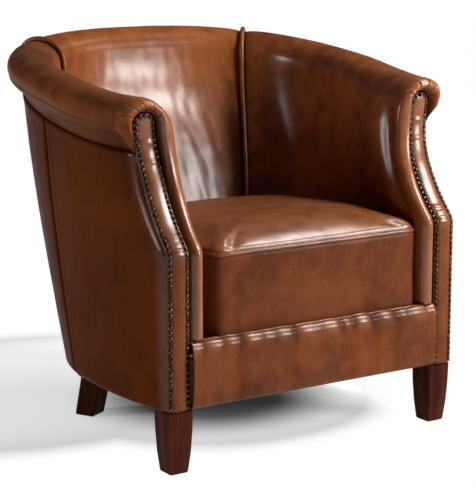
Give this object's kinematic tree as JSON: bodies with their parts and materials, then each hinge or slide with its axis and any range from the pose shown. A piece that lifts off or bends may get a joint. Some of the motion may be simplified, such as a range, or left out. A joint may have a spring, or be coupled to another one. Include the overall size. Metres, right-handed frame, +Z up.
{
  "type": "leather club chair",
  "caption": "Worn leather tub chair with rolled arms and back, nailed arm facings, a loose boxed seat cushion and tapered wooden legs.",
  "frame": {"origin": "on the floor, under the middle of the overall width and depth", "axes": "+Z up, -Y to the front of the seat, +X to the sitter's left, which is the right arm seen from the front"},
  "size_m": [0.8, 0.7426, 0.7639],
  "materials": {
    "hide": "burnished brown hide, satin, worn lighter on the high places",
    "facing": "lighter cognac hide, satin",
    "piping": "rolled hide over cord",
    "nail": "antique brass, dark in the joints",
    "leg": "dark mahogany stain, satin lacquer",
    "beech": "sawn, unfinished",
    "foam": "open foam padding",
    "webbing": "woven elastic webbing",
    "cloth": "thin black lining cloth",
    "steel": "plain zinc-coated bolt"
  },
  "bodies": {
    "root": {"inside_arm_cover_left": "hide", "inside_arm_cover_right": "hide", "inside_back_cover": "hide", "outside_arm_cover_left": "hide", "outside_arm_cover_right": "hide", "outside_back_cover": "hide", "seat_cushion_cover": "hide", "arm_facing_left": "facing", "arm_facing_right": "facing", "front_border_cover": "facing", "back_piping_left": "piping", "back_piping_right": "piping", "seat_cushion_piping": "piping", "nail_trim_left": "nail", "nail_trim_right": "nail", "leg_front_left": "leg", "leg_front_right": "leg", "leg_rear_left": "leg", "leg_rear_right": "leg", "front_rail": "beech", "back_rail": "beech", "back_top_rail": "beech", "front_post_left": "beech", "front_post_right": "beech", "side_rail_left": "beech", "side_rail_right": "beech", "arm_rail_left": "beech", "arm_rail_right": "beech", "back_post_left": "beech", "back_post_right": "beech", "back_slat_left": "beech", "back_slat_right": "beech", "front_block_left": "beech", "front_block_right": "beech", "rear_block_left": "beech", "rear_block_right": "beech", "arm_pad_left": "foam", "arm_pad_right": "foam", "arm_roll_pad_left": "foam", "arm_roll_pad_right": "foam", "back_pad": "foam", "back_roll_pad": "foam", "front_border_pad": "foam", "seat_cushion_core": "foam", "seat_deck_pad": "foam", "seat_web_1": "webbing", "seat_web_2": "webbing", "seat_web_3": "webbing", "seat_web_4": "webbing", "seat_web_5": "webbing", "cross_web_1": "webbing", "cross_web_2": "webbing", "cross_web_3": "webbing", "seat_cushion_base": "cloth", "dust_cover": "cloth", "leg_bolt_front_left": "steel", "leg_bolt_front_right": "steel", "leg_bolt_rear_left": "steel", "leg_bolt_rear_right": "steel"}
  },
  "joints": []
}
